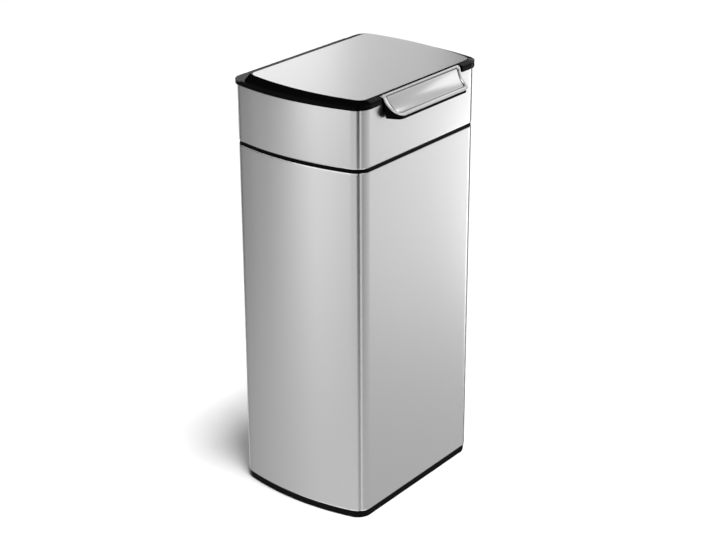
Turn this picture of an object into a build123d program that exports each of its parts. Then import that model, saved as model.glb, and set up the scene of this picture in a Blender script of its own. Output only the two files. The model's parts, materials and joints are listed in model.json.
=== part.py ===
"""Kitchen bin with a touch bar, as the separate pieces that come apart on a bench.

Millimetres, +Z up. The origin is the centre of the base, on the floor. +X runs along the
straight front face, and the front, with the touch bar, faces -Y.
"""

from build123d import *
from math import atan2, cos, degrees, radians, sin, sqrt, tan
import os

# Body outline: straight front and rear, bowed sides, rounded corners
body_width = 291.2
side_bow = 18.4
body_depth = 245.3
corner_radius = 25.0
inner_corner = 12.0

# Heights of the visible bands, from the floor up
base_height = 12.4
shell_height = 565.6
band_height = 6.0
collar_height = 90.2
ring_height = 7.6

# Steel sheet and its folded edges
sheet = 0.8
hem_height = 8.0

# Base moulding and its foot pads
base_tuck = 2.3
base_lip = 0.4
base_floor = 3.0
base_wall = 3.0
base_spigot = 20.0
base_rib = 6.0
base_rib_width = 2.4
base_rib_pitch = 62.0
pad_diameter = 26.0
pad_thickness = 1.6
pad_edge = 34.0

# Rim moulding between body and collar
band_recess = 1.2
rim_wall = 2.2
rim_flange = 18.0
rim_land = 3.8
rim_ledge = 7.0
rim_step = 3.0

# Inner bucket
bucket_wall = 2.0
bucket_flange = 2.5
bucket_draft = 1.1
bucket_floor_gap = 6.0
bucket_corner = 23.0
bucket_foot_height = 9.0
bucket_foot_tuck = 4.5
handle_length = 96.0
handle_height = 24.0
handle_drop = 26.0

# Collar liner: the chute that the rubbish falls through
liner_wall = 2.0
liner_flange = 2.2
liner_upstand = 16.0
liner_skirt = 10.0
post_radius = 4.6
post_seat = 8.0

# Top ring and the mouth under the lid
ring_overhang = 2.9
ring_plate = 3.0
ring_skirt = 10.0
ring_edge = 0.7
notch_drop = 1.0
deck_drop = 1.8
mouth_side = 13.0
mouth_front = 26.6
mouth_rear = 34.6
mouth_lip = 1.6
mouth_lip_height = 13.0
bumper_diameter = 7.0
bumper_sink = 0.8
bumper_inset = 8.2
bumper_rear_y = 40.0

# Lid: black surround, steel panel and inner cover
lid_slope = 1.47
lid_height = 7.1
lid_lip = 1.0
lid_rear = 23.2
lid_rear_lean = 1.1
lid_rear_corner = 22.0
lid_heel = 0.9
panel_side = 10.8
panel_front = 7.2
panel_rear = 32.1
panel_corner = 14.0
panel_sheet = 1.0
panel_rim = 1.8
panel_proud = 0.3
panel_border = 0.4
frame_side = 30.0
frame_front = 33.0
frame_rear = 52.0
frame_corner = 12.0
cover_depth = 7.5
cover_wall = 2.0
cover_gap = 1.5
cover_post_radius = 3.8
cover_post_inset = 21.0
cover_screw_pitch = 58.0

# Lid hinge: one short pin and one torsion spring at each side
hinge_pin_diameter = 4.0
hinge_bearing = 7.0
hinge_spacing = 186.0
hinge_height = 3.0
hinge_setback = 4.6
lug_width = 12.0
lug_wall = 1.6
spring_wire = 1.1
spring_coil = 6.2
spring_turns = 5.25
spring_pitch = 1.3
spring_leg = 8.0
spring_room = 11.5

# Touch bar: heading angles are below the horizontal, going forwards
bar_rear_length = 202.0
bar_lip_length = 174.0
bar_flat = 4.2
bar_flat_angle = 8.0
bar_nose_radius = 5.0
bar_nose_angle = 72.0
bar_scoop_radius = 35.0
bar_lip_angle = 24.0
bar_lip = 6.5
bar_corner = 13.0
bar_rear_corner = 3.0
bar_skin = 1.2
bar_border = 6.5
bar_emboss = 0.4
bar_rise = 3.4
bar_core_margin = 2.6
bar_core_edge = 2.6
bar_core_drop = 23.0
bar_core_gap = 3.4
bar_side_gap = 2.1

# Touch bar pivot, arms and finger
pivot_diameter = 3.0
pivot_setback = 10.65
pivot_depth = 3.8
pivot_wall = 2.0
pivot_bearing = 8.0
arm_width = 10.0
arm_spacing = 70.0
finger_width = 7.0
finger_thickness = 2.5
finger_length = 33.0
finger_reach = 29.0
finger_offset = 3.75

# Keeper on the lid
keeper_sheet = 1.5
keeper_width = 16.0
keeper_window = 11.0
keeper_depth = 17.0
keeper_toe = 3.0
keeper_tab = 9.0
keeper_sweep = 2.6
window_height = 6.5
rivet_radius = 1.25
rivet_head = 0.8
rivet_setback = 4.0
rivet_bite = 1.2

# Latch lever, its bracket and its spring
latch_width = 15.0
latch_arm = 3.0
latch_wall = 1.8
latch_drop = 14.2
latch_nose = 2.0
latch_pad = 2.0
latch_pin_diameter = 3.0
nose_half = 4.0
bracket_wall = 2.5
bracket_foot = 10.0
bracket_drop = 19.5
return_wire = 0.9
return_coil = 6.0
return_turns = 3
return_drop = 3.6

# Screws
screw_diameter = 3.0
screw_head = 5.6
screw_head_height = 1.8
screw_bite = 2.4

# Clearances
fit = 0.2             # pieces that push together and stay
running = 0.05        # radial, pin in its bore
moving = 0.3          # beside pieces that move past each other
loose = 0.8           # around pieces that lift out by hand
lid_gap = 0.6         # shadow line between ring and lid
bar_gap = 0.9         # between bar and lid
bar_stroke = 1.4      # room over the collar edge for the bar to dip
latch_rest = 1.0      # between the latch's nose and the keeper's sheet

# Heights worked out from the bands
shell_top = base_height + shell_height
band_top = shell_top + band_height
collar_top = band_top + collar_height
ring_top = collar_top + ring_height
lid_bottom = ring_top + lid_gap
deck_top = ring_top - deck_drop
plate_bottom = deck_top - ring_plate

# Faces and centres used by many pieces
front_face = -body_depth / 2
rear_face = body_depth / 2
side_radius = (body_depth**2 / 4 + side_bow**2) / (2 * side_bow)
side_centre = body_width / 2 + side_bow - side_radius
hem = 2 * sheet
overall_half = body_width / 2 + side_bow + ring_overhang
screw_radius = screw_diameter / 2


def outline(side, front=None, rear=None, radius=None, rear_radius=None):
    """Return the body outline, moved in from the body's faces by the given distances."""
    front = side if front is None else front
    rear = side if rear is None else rear
    radius = max(corner_radius - side, inner_corner) if radius is None else radius
    rear_radius = radius if rear_radius is None else rear_radius
    front_y = front_face + front
    rear_y = rear_face - rear
    bow = side_radius - side
    front_x = side_centre + sqrt(bow**2 - front_y**2)
    rear_x = side_centre + sqrt(bow**2 - rear_y**2)
    with BuildSketch() as sketch:
        with BuildLine():
            ThreePointArc((front_x, front_y), (side_centre + bow, 0), (rear_x, rear_y))
            Line((rear_x, rear_y), (-rear_x, rear_y))
            ThreePointArc((-rear_x, rear_y), (-side_centre - bow, 0), (-front_x, front_y))
            Line((-front_x, front_y), (front_x, front_y))
        make_face()
        fillet(sketch.vertices().group_by(Axis.Y)[0], radius)
        fillet(sketch.vertices().group_by(Axis.Y)[-1], rear_radius)
    return sketch.sketch


def slab(low, high, shape, mode=Mode.ADD):
    """Extrude a flat shape between two heights, in the part that is open."""
    with BuildSketch(Plane.XY.offset(low)) as section:
        add(shape)
    extrude(section.sketch, amount=high - low, mode=mode)


def wall(low, high, outer, inner):
    """Extrude the ring between two outlines, in the part that is open."""
    with BuildSketch(Plane.XY.offset(low)) as section:
        add(outer)
        add(inner, mode=Mode.SUBTRACT)
    extrude(section.sketch, amount=high - low)


def flare(low, high, shape, growth, mode=Mode.ADD):
    """Extrude a flat shape that grows all round by a distance on the way up, in the open part."""
    with BuildSketch(Plane.XY.offset(low)) as foot:
        add(shape)
    extrude(foot.sketch, amount=high - low, taper=-degrees(atan2(growth, high - low)), mode=mode)


def block(x, y, z, mode=Mode.ADD):
    """Make a box from its (low, high) pairs along X, Y and Z, in the part that is open."""
    centre = ((x[0] + x[1]) / 2, (y[0] + y[1]) / 2, (z[0] + z[1]) / 2)
    with Locations(centre):
        Box(x[1] - x[0], y[1] - y[0], z[1] - z[0], mode=mode)


def cross_rod(low_x, high_x, y, z, radius, mode=Mode.ADD):
    """Make a round bar along X, in the part that is open."""
    with Locations(Location(((low_x + high_x) / 2, y, z), (0, 90, 0))):
        Cylinder(radius, high_x - low_x, mode=mode)


def front_rod(x, z, low_y, high_y, radius, mode=Mode.ADD):
    """Make a round bar along Y, in the part that is open."""
    with Locations(Location((x, (low_y + high_y) / 2, z), (90, 0, 0))):
        Cylinder(radius, high_y - low_y, mode=mode)


def post(x, y, low, high, radius, mode=Mode.ADD):
    """Make a round upright between two heights, in the part that is open."""
    with Locations((x, y, (low + high) / 2)):
        Cylinder(radius, high - low, mode=mode)


def save(piece, name):
    """Label a finished piece and write its file."""
    piece.part.label = name
    export_step(piece.part, f"parts/{name}.step")


os.makedirs("parts", exist_ok=True)

# Base moulding: a tapered band, a floor with ribs, and a spigot inside the shell
spigot_outer = hem + fit
spigot_inner = spigot_outer + rim_wall
pad_radius = pad_diameter / 2
pad_x = body_width / 2 - pad_edge
pad_y = body_depth / 2 - pad_edge
pad_places = [(x, y) for x in (-pad_x, pad_x) for y in (-pad_y, pad_y)]

with BuildPart() as base_plinth:
    flare(0, base_height, outline(base_tuck), base_tuck - base_lip)
    slab(base_floor, base_height, outline(base_tuck + base_wall), mode=Mode.SUBTRACT)
    wall(base_floor, base_height, outline(base_tuck + base_wall), outline(spigot_inner + base_wall))
    wall(base_floor, base_height + base_spigot, outline(spigot_outer), outline(spigot_inner))
    rib_half = body_width / 2 - corner_radius
    for step in (-2, -1, 0, 1, 2):
        rib_x = step * base_rib_pitch
        block((rib_x - base_rib_width / 2, rib_x + base_rib_width / 2),
              (front_face + corner_radius, rear_face - corner_radius),
              (base_floor, base_floor + base_rib))
    block((-rib_half, rib_half), (-base_rib_width / 2, base_rib_width / 2),
          (base_floor, base_floor + base_rib))
    with Locations(*pad_places):
        Cylinder(pad_radius + fit, 2 * pad_thickness, mode=Mode.SUBTRACT)
save(base_plinth, "base_plinth")

# Foot pads, set flush into the underside
with BuildPart() as foot_pads:
    with Locations(*[(x, y, pad_thickness / 2) for x, y in pad_places]):
        Cylinder(pad_radius, pad_thickness)
save(foot_pads, "foot_pads")


def steel_band(low, high):
    """Return a band of the body's steel sheet, folded inwards along both edges."""
    with BuildPart() as band:
        wall(low, high, outline(0), outline(sheet))
        for edge in (low, high - hem_height):
            wall(edge, edge + hem_height, outline(sheet), outline(hem))
    return band


# Lower steel shell, standing on the base moulding
body_shell = steel_band(base_height, shell_top)
save(body_shell, "body_shell")

# Rim moulding: the dark band, the flange in the shell, and the ledge for the bucket
land_inner = band_recess + rim_land
ledge_inner = land_inner + rim_ledge
ledge_top = band_top - rim_step

with BuildPart() as body_rim:
    wall(shell_top, ledge_top, outline(band_recess), outline(ledge_inner))
    wall(ledge_top, band_top, outline(band_recess), outline(land_inner))
    wall(shell_top - rim_flange, shell_top, outline(hem + fit), outline(hem + fit + rim_wall))
save(body_rim, "body_rim")

# Inner bucket: tapered walls, hung by its flange on the rim's ledge
bucket_top = ledge_top + bucket_flange
bucket_bottom = base_floor + base_rib + bucket_floor_gap
bucket_mouth = ledge_inner + loose
bucket_bend = bucket_bottom + bucket_foot_height
bucket_growth = (bucket_top - bucket_bend) * tan(radians(bucket_draft))
bucket_side = bucket_mouth + bucket_growth
bucket_foot = bucket_side + bucket_foot_tuck
inner_side = bucket_side + bucket_wall
inner_foot = bucket_foot + bucket_wall
side_corner = bucket_corner - bucket_growth
foot_corner = side_corner - bucket_foot_tuck
handle_z = ledge_top - handle_drop

with BuildPart() as inner_bucket:
    flare(bucket_bottom, bucket_bend, outline(bucket_foot, radius=foot_corner), bucket_foot_tuck)
    flare(bucket_bend, bucket_top, outline(bucket_side, radius=side_corner), bucket_growth)
    slab(ledge_top, bucket_top, outline(land_inner + fit))
    flare(bucket_bottom + bucket_wall, bucket_bend, outline(inner_foot, radius=foot_corner - bucket_wall),
          bucket_foot_tuck, mode=Mode.SUBTRACT)
    flare(bucket_bend, bucket_top, outline(inner_side, radius=side_corner - bucket_wall), bucket_growth,
          mode=Mode.SUBTRACT)
    with BuildSketch(Plane.YZ.offset(-overall_half)):
        with Locations((0, handle_z)):
            SlotOverall(handle_length, handle_height)
    extrude(amount=2 * overall_half, mode=Mode.SUBTRACT)
save(inner_bucket, "inner_bucket")

# Steel collar, a hair above the rim so that the liner carries the weight
collar_shell = steel_band(band_top + moving, collar_top)
save(collar_shell, "collar_shell")

# Mouth of the bin, and the chute that stands around the ring's lip
mouth = outline(mouth_side, mouth_front, mouth_rear)
chute_in = mouth_lip + fit
chute_out = chute_in + liner_wall
chute_inner = outline(mouth_side - chute_in, mouth_front - chute_in, mouth_rear - chute_in)
chute_outer = outline(mouth_side - chute_out, mouth_front - chute_out, mouth_rear - chute_out)
chute_top = plate_bottom - fit
skirt_outer = bucket_mouth + bucket_wall + loose
skirt_corner = bucket_corner - bucket_wall - loose
chute_front_y = front_face + mouth_front - chute_out
chute_rear_y = rear_face - mouth_rear + chute_out

# Touch bar and its pivot line, behind the front of the collar
bar_half = bar_rear_length / 2
lip_half = bar_lip_length / 2
lid_front_y = front_face + panel_front - panel_border
bar_rear_y = lid_front_y - bar_gap
pivot_y = front_face + pivot_setback
pivot_z = ring_top - pivot_depth
pivot_radius = pivot_diameter / 2
boss_radius = pivot_radius + pivot_wall
notch_half = bar_half + bar_side_gap
notch_rear_y = pivot_y + boss_radius + bar_gap
pivot_end = notch_half + pivot_bearing

# Screw posts stand in the hidden rooms before and behind the chute, the front ones beside the pin
front_post_x = pivot_end + pivot_wall + post_radius + loose
front_post_y = (front_face + hem + chute_front_y) / 2
rear_post_x = body_width / 2 - corner_radius
rear_post_y = (rear_face - hem + chute_rear_y) / 2
post_places = [(side * front_post_x, front_post_y) for side in (-1, 1)]
post_places += [(side * rear_post_x, rear_post_y) for side in (-1, 1)]
post_seat_z = plate_bottom - post_seat

# Keeper and latch lines, in front of the chute
keeper_rear_y = chute_front_y - keeper_sheet
keeper_front_y = keeper_rear_y - keeper_sheet
keeper_half = keeper_width / 2
latch_z = collar_top - latch_drop
latch_y = keeper_front_y - latch_rest - latch_nose - latch_arm / 2
latch_radius = latch_pin_diameter / 2
latch_half = latch_width / 2
bracket_half = latch_half + moving + bracket_wall
bracket_y = chute_front_y - bracket_wall
bracket_foot_half = bracket_half + bracket_foot
latch_screw_x = bracket_half + bracket_foot / 2
finger_front_y = pivot_y - finger_offset - finger_thickness / 2
finger_rear_y = finger_front_y + finger_thickness
pad_z = pivot_z - finger_reach
pad_y_centre = finger_rear_y + moving + latch_pad

with BuildPart() as collar_liner:
    slab(band_top, band_top + liner_flange, outline(hem + fit))
    wall(band_top, band_top + liner_upstand, outline(hem + fit), outline(hem + fit + liner_wall))
    slab(band_top, chute_top, chute_outer)
    for x, y in post_places:
        post(x, y, band_top, plate_bottom, post_radius)
    slab(band_top, chute_top, chute_inner, mode=Mode.SUBTRACT)
    wall(band_top - liner_skirt, band_top, outline(skirt_outer, radius=skirt_corner),
         outline(skirt_outer + liner_wall, radius=skirt_corner - liner_wall))
    wall(band_top, band_top + liner_flange, outline(skirt_outer), chute_inner)
    for x, y in post_places:
        post(x, y, band_top, plate_bottom, screw_radius + running, mode=Mode.SUBTRACT)
        post(x, y, band_top, post_seat_z, screw_head / 2 + fit, mode=Mode.SUBTRACT)
    for x in (-latch_screw_x, latch_screw_x):
        front_rod(x, latch_z - bracket_drop / 2, chute_front_y, chute_front_y + liner_wall,
                  screw_radius + running, mode=Mode.SUBTRACT)
save(collar_liner, "collar_liner")

# Screws up through the posts into the top ring
with BuildPart() as collar_screws:
    for x, y in post_places:
        post(x, y, post_seat_z - screw_head_height, post_seat_z, screw_head / 2)
        post(x, y, post_seat_z, plate_bottom + screw_bite, screw_radius)
save(collar_screws, "collar_screws")

# Top ring: overhanging band, sunk plate, skirt in the collar, and lip in the chute
skirt_face = hem + fit
skirt_inner = skirt_face + rim_wall
mouth_lip_outer = outline(mouth_side - mouth_lip, mouth_front - mouth_lip, mouth_rear - mouth_lip)
lid_rear_y = rear_face - lid_rear
hinge_y = lid_rear_y - hinge_setback
hinge_z = lid_bottom + hinge_height
hinge_radius = hinge_pin_diameter / 2
lug_radius = hinge_radius + lug_wall
hinge_x = hinge_spacing / 2
lug_inner_x = hinge_x - lug_width / 2
lug_outer_x = hinge_x + lug_width / 2
pocket_inner_x = lug_inner_x - spring_room
pocket_outer_x = lug_outer_x + moving
coil_radius = spring_coil / 2
coil_start_x = pocket_inner_x + loose + spring_wire / 2
coil_end_x = coil_start_x + spring_turns * spring_pitch
bumper_side_x = side_centre + sqrt((side_radius - bumper_inset)**2 - bumper_rear_y**2)
bumper_front_y = front_post_y + screw_radius + bumper_diameter / 2 + 2 * loose
bumper_places = [(side * front_post_x, bumper_front_y) for side in (-1, 1)]
bumper_places += [(side * bumper_side_x, bumper_rear_y) for side in (-1, 1)]
bumper_low = deck_top - bumper_sink
bumper_top = lid_bottom - fit

with BuildPart() as top_ring:
    slab(collar_top, ring_top, outline(-ring_overhang))
    chamfer(top_ring.faces().sort_by(Axis.Z)[-1].edges(), ring_edge)
    block((-overall_half, overall_half), (lid_rear_y + lid_gap, rear_face + 2 * ring_overhang),
          (deck_top, ring_top), mode=Mode.SUBTRACT)
    slab(deck_top, ring_top, outline(skirt_inner), mode=Mode.SUBTRACT)
    slab(collar_top, plate_bottom, outline(skirt_inner), mode=Mode.SUBTRACT)
    wall(collar_top - ring_skirt, plate_bottom, outline(skirt_face), outline(skirt_inner))
    slab(plate_bottom - mouth_lip_height, plate_bottom, mouth_lip_outer)
    slab(plate_bottom - mouth_lip_height, ring_top, mouth, mode=Mode.SUBTRACT)
    for side in (-1, 1):
        lug_span = sorted((side * lug_inner_x, side * lug_outer_x))
        block(lug_span, (hinge_y - lug_radius, hinge_y + lug_radius), (deck_top - fit, hinge_z))
        cross_rod(*lug_span, hinge_y, hinge_z, lug_radius)
        cross_rod(*lug_span, hinge_y, hinge_z, hinge_radius + running, mode=Mode.SUBTRACT)
        leg_x = side * coil_start_x
        block((leg_x - spring_wire - fit, leg_x + spring_wire + fit),
              (hinge_y + coil_radius - spring_wire, hinge_y + coil_radius + spring_wire),
              (plate_bottom, deck_top), mode=Mode.SUBTRACT)
        end_span = sorted((side * notch_half, side * (pivot_end + pivot_wall)))
        block(end_span, (pivot_y - boss_radius, pivot_y + boss_radius),
              (pivot_z - boss_radius, plate_bottom))
    block((-notch_half, notch_half), (front_face - 2 * ring_overhang, notch_rear_y),
          (collar_top - notch_drop, ring_top), mode=Mode.SUBTRACT)
    cross_rod(-pivot_end, pivot_end, pivot_y, pivot_z, pivot_radius + running, mode=Mode.SUBTRACT)
    block((-keeper_half - loose, keeper_half + loose),
          (keeper_front_y - keeper_sweep, chute_front_y + moving),
          (plate_bottom, deck_top), mode=Mode.SUBTRACT)
    for x, y in bumper_places:
        post(x, y, bumper_low, deck_top, bumper_diameter / 2 + running, mode=Mode.SUBTRACT)
    for x, y in post_places:
        post(x, y, plate_bottom, plate_bottom + screw_bite, screw_radius + running, mode=Mode.SUBTRACT)
save(top_ring, "top_ring")

# Rubber bumpers that the closed lid comes down on
with BuildPart() as lid_bumpers:
    for x, y in bumper_places:
        post(x, y, bumper_low, bumper_top, bumper_diameter / 2)
save(lid_bumpers, "lid_bumpers")

# Short pins of the lid hinge, one through each lug
with BuildPart() as hinge_pins:
    for side in (-1, 1):
        pin_span = sorted((side * (pocket_inner_x - hinge_bearing), side * (pocket_outer_x + hinge_bearing)))
        cross_rod(*pin_span, hinge_y, hinge_z, hinge_radius)
save(hinge_pins, "hinge_pins")


def coil(radius, wire, turns, pitch, legs=()):
    """Return a coil that winds up +Z from +X, with straight legs, of light six-sided wire."""
    with BuildPart() as winding:
        with BuildLine() as path:
            Helix(pitch, turns * pitch, radius)
        with BuildSketch(Plane(origin=path.line @ 0, z_dir=path.line % 0)):
            RegularPolygon(wire / 2, 6)
        sweep()
        ends = winding.faces().filter_by(GeomType.PLANE).sort_by(Axis.Z)
        for end, length in zip(ends, legs):
            extrude(end, amount=length)
    return winding.part


# Torsion springs on the hinge pins: one leg in the ring, one under the lid
lid_coil = coil(coil_radius, spring_wire, spring_turns, spring_pitch,
                (hinge_z - plate_bottom, spring_leg))
coil_place = Plane(origin=(coil_start_x, hinge_y, hinge_z), x_dir=(0, 1, 0), z_dir=(1, 0, 0))
wire_radius = spring_wire / 2

with BuildPart() as lid_springs:
    with Locations(coil_place.location):
        add(lid_coil)
    mirror(about=Plane.YZ)
save(lid_springs, "lid_springs")


def lid_plane(drop):
    """Return the sloping plane that lies a given drop below the top of the panel."""
    return Plane(origin=(0, 0, lid_bottom + lid_height - drop), x_dir=(1, 0, 0),
                 z_dir=(0, -sin(radians(lid_slope)), cos(radians(lid_slope))))


def lid_layer(drop, thickness, shape, mode=Mode.ADD):
    """Extrude a flat shape upwards from a plane under the panel's top, in the open part."""
    with BuildSketch(lid_plane(drop)) as section:
        add(shape)
    extrude(section.sketch, amount=thickness, mode=mode)


def panel_outline(inset):
    """Return the steel panel's outline, moved in by a distance."""
    return outline(panel_side + inset, panel_front + inset, panel_rear + inset, panel_corner - inset)


# Lid surround: one moulding from the ring's edge up to the steel panel
surround_foot = outline(-ring_overhang, -ring_overhang, lid_rear, corner_radius + ring_overhang,
                        lid_rear_corner)
surround_crown = outline(panel_side - panel_border, panel_front - panel_border,
                         lid_rear + lid_rear_lean, panel_corner + panel_border,
                         lid_rear_corner - lid_rear_lean)
lip_top = lid_bottom + lid_lip
frame_opening = outline(frame_side, frame_front, frame_rear, frame_corner)
pocket_top = hinge_z + lug_radius + moving
pocket_front_y = hinge_y - lug_radius - moving
keeper_tab_y = keeper_front_y + keeper_tab
cover_posts_x = [side_centre + sqrt((side_radius - cover_post_inset)**2 - y**2)
                 for y in (-cover_screw_pitch, 0, cover_screw_pitch)]
cover_post_places = [(side * x, y) for side in (-1, 1)
                     for x, y in zip(cover_posts_x, (-cover_screw_pitch, 0, cover_screw_pitch))]
rivet_places = [(side * keeper_half / 2, keeper_tab_y - rivet_setback) for side in (-1, 1)]

with BuildPart() as lid_frame:
    slab(lid_bottom, lip_top, surround_foot)
    with BuildSketch(Plane.YZ.offset(-body_width)):
        with BuildLine():
            Polyline((lid_rear_y - 2 * lid_heel, lid_bottom - lid_heel),
                     (lid_rear_y + lid_heel, lid_bottom - lid_heel),
                     (lid_rear_y + lid_heel, lid_bottom + 2 * lid_heel), close=True)
        make_face()
    extrude(amount=2 * body_width, mode=Mode.SUBTRACT)
    with BuildSketch(Plane.XY.offset(lip_top)) as slope_foot:
        add(surround_foot)
    with BuildSketch(lid_plane(panel_proud)) as slope_crown:
        add(surround_crown)
    loft([slope_foot.sketch, slope_crown.sketch])
    lid_layer(panel_sheet, lid_height, panel_outline(-fit), mode=Mode.SUBTRACT)
    lid_layer(panel_rim + fit, lid_height, panel_outline(-fit) - panel_outline(panel_sheet + fit),
              mode=Mode.SUBTRACT)
    slab(lid_bottom, lid_bottom + 2 * lid_height, frame_opening, mode=Mode.SUBTRACT)
    block((-notch_half, notch_half), (front_face - 2 * ring_overhang, lid_front_y),
          (lid_bottom, lid_bottom + lid_height), mode=Mode.SUBTRACT)
    block((-keeper_half - fit, keeper_half + fit), (keeper_front_y - fit, keeper_tab_y + fit),
          (lid_bottom, lid_bottom + keeper_sheet), mode=Mode.SUBTRACT)
    for side in (-1, 1):
        block(sorted((side * pocket_inner_x, side * pocket_outer_x)),
              (pocket_front_y, lid_rear_y + fit), (lid_bottom, pocket_top), mode=Mode.SUBTRACT)
        leg_x = side * coil_end_x
        block((leg_x - spring_wire - fit, leg_x + spring_wire + fit),
              (hinge_y - spring_leg - loose, pocket_front_y),
              (lid_bottom, hinge_z + coil_radius + wire_radius + fit), mode=Mode.SUBTRACT)
        cross_rod(*sorted((side * (pocket_inner_x - hinge_bearing), side * (pocket_outer_x + hinge_bearing))),
                  hinge_y, hinge_z, hinge_radius + running, mode=Mode.SUBTRACT)
    for x, y in cover_post_places:
        post(x, y, lid_bottom, lid_bottom + screw_bite, screw_radius + running, mode=Mode.SUBTRACT)
    for x, y in rivet_places:
        post(x, y, lid_bottom, lid_bottom + keeper_sheet + rivet_bite, rivet_radius + running,
             mode=Mode.SUBTRACT)
save(lid_frame, "lid_frame")

# Steel panel with its edge folded down into the surround's groove
with BuildPart() as lid_panel:
    lid_layer(panel_sheet, panel_sheet, panel_outline(0))
    lid_layer(panel_rim, panel_rim - panel_sheet, panel_outline(0) - panel_outline(panel_sheet))
save(lid_panel, "lid_panel")

# Inner cover: a shallow pan that closes the lid from below
cover_low = lid_bottom - cover_depth
cover_side = mouth_side + cover_gap
cover_front = mouth_front + cover_gap
cover_rear = mouth_rear + cover_gap

with BuildPart() as lid_cover:
    slab(cover_low, lid_bottom, outline(cover_side, cover_front, cover_rear))
    chamfer(lid_cover.faces().sort_by(Axis.Z)[0].edges(), cover_wall / 2)
    slab(cover_low + cover_wall, lid_bottom,
         outline(cover_side + cover_wall, cover_front + cover_wall, cover_rear + cover_wall),
         mode=Mode.SUBTRACT)
    for x, y in cover_post_places:
        post(x, y, cover_low + cover_wall, lid_bottom, cover_post_radius)
        post(x, y, cover_low, lid_bottom, screw_radius + running, mode=Mode.SUBTRACT)
        post(x, y, cover_low, cover_low + screw_head_height, screw_head / 2 + fit, mode=Mode.SUBTRACT)
save(lid_cover, "lid_cover")

# Screws that hold the inner cover
with BuildPart() as lid_screws:
    for x, y in cover_post_places:
        post(x, y, cover_low, cover_low + screw_head_height, screw_head / 2)
        post(x, y, cover_low + screw_head_height, lid_bottom + screw_bite, screw_radius)
save(lid_screws, "lid_screws")

# Keeper: a bent steel plate with a window for the latch, riveted under the lid's front
keeper_low = lid_bottom - keeper_depth

with BuildPart() as lid_keeper:
    block((-keeper_half, keeper_half), (keeper_front_y, keeper_rear_y),
          (keeper_low, lid_bottom + keeper_sheet))
    block((-keeper_half, keeper_half), (keeper_front_y, keeper_tab_y),
          (lid_bottom, lid_bottom + keeper_sheet))
    block((-keeper_window / 2, keeper_window / 2), (keeper_front_y, keeper_rear_y),
          (keeper_low + keeper_toe, keeper_low + keeper_toe + window_height), mode=Mode.SUBTRACT)
    for x, y in rivet_places:
        post(x, y, lid_bottom, lid_bottom + keeper_sheet, rivet_radius + running, mode=Mode.SUBTRACT)
save(lid_keeper, "lid_keeper")

with BuildPart() as keeper_rivets:
    for x, y in rivet_places:
        post(x, y, lid_bottom - rivet_head, lid_bottom, 2 * rivet_radius)
        post(x, y, lid_bottom, lid_bottom + keeper_sheet + rivet_bite, rivet_radius)
save(keeper_rivets, "keeper_rivets")


# Touch bar: its crest runs flat, over the nose, down the scoop and out along the lip
def bar_heading(angle):
    """Return the (y, z) direction of the crest at an angle below the horizontal."""
    return Vector(-cos(radians(angle)), -sin(radians(angle)))


def bar_inward(angle):
    """Return the (y, z) direction from the crest into the bar at that angle."""
    return Vector(sin(radians(angle)), -cos(radians(angle)))


crest_start = Vector(bar_rear_y, ring_top + bar_rise)
flat_end = crest_start + bar_heading(bar_flat_angle) * bar_flat
nose_centre = flat_end + bar_inward(bar_flat_angle) * bar_nose_radius
scoop_centre = nose_centre - bar_inward(bar_nose_angle) * (bar_nose_radius + bar_scoop_radius)
scoop_end = scoop_centre + bar_inward(bar_lip_angle) * bar_scoop_radius
lip_end = scoop_end + bar_heading(bar_lip_angle) * bar_lip


def draw_crest(depth):
    """Draw the crest at a depth below the bar's face, and return its two ends."""
    nose = bar_nose_radius - depth
    scoop = bar_scoop_radius + depth
    nose_middle = (bar_flat_angle + bar_nose_angle) / 2
    scoop_middle = (bar_nose_angle + bar_lip_angle) / 2
    rear = crest_start + bar_inward(bar_flat_angle) * depth - bar_heading(bar_flat_angle) * bar_flat
    nose_in = nose_centre - bar_inward(bar_flat_angle) * nose
    nose_out = nose_centre - bar_inward(bar_nose_angle) * nose
    scoop_out = scoop_centre + bar_inward(bar_lip_angle) * scoop
    front = lip_end + bar_inward(bar_lip_angle) * depth + bar_heading(bar_lip_angle) * bar_lip
    Line(rear, nose_in)
    ThreePointArc(nose_in, nose_centre - bar_inward(nose_middle) * nose, nose_out)
    ThreePointArc(nose_out, scoop_centre + bar_inward(scoop_middle) * scoop, scoop_out)
    Line(scoop_out, front)
    return rear, front


def bar_plan(margin):
    """Return the bar's outline from above, moved in by a margin."""
    lean = (bar_half - lip_half) / (bar_rear_y - lip_end.X)
    rear, front = bar_rear_y - margin, lip_end.X + margin
    rear_half = bar_half - margin * lean - margin * sqrt(1 + lean**2)
    front_half = lip_half + margin * lean - margin * sqrt(1 + lean**2)
    with BuildSketch() as sketch:
        Polygon((-rear_half, rear), (rear_half, rear), (front_half, front), (-front_half, front),
                align=None)
        fillet(sketch.vertices().group_by(Axis.Y)[0], max(bar_corner - margin, bar_rear_corner))
        fillet(sketch.vertices().group_by(Axis.Y)[-1], max(bar_rear_corner - margin, bar_emboss))
    return sketch.sketch


def bar_slice(outer, inner, margin):
    """Return the layer of the bar between two depths, cut to its outline from above."""
    with BuildPart() as layer:
        with BuildSketch(Plane.YZ.offset(-bar_half)):
            with BuildLine():
                outer_ends = draw_crest(outer)
                inner_ends = draw_crest(inner)
                Line(outer_ends[0], inner_ends[0])
                Line(outer_ends[1], inner_ends[1])
            make_face()
        extrude(amount=2 * bar_half)
        with BuildSketch(Plane.XY.offset(collar_top - 2 * bar_core_drop)):
            add(bar_plan(margin))
        extrude(amount=4 * bar_core_drop, mode=Mode.INTERSECT)
    return layer.part


# Steel face of the bar, pressed down a little inside its border
bar_sheet = bar_slice(0, bar_skin, 0)
bar_field = bar_slice(0, bar_emboss, bar_border)

with BuildPart() as touch_bar_skin:
    add(bar_sheet)
    add(bar_field, mode=Mode.SUBTRACT)
save(touch_bar_skin, "touch_bar_skin")

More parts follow.
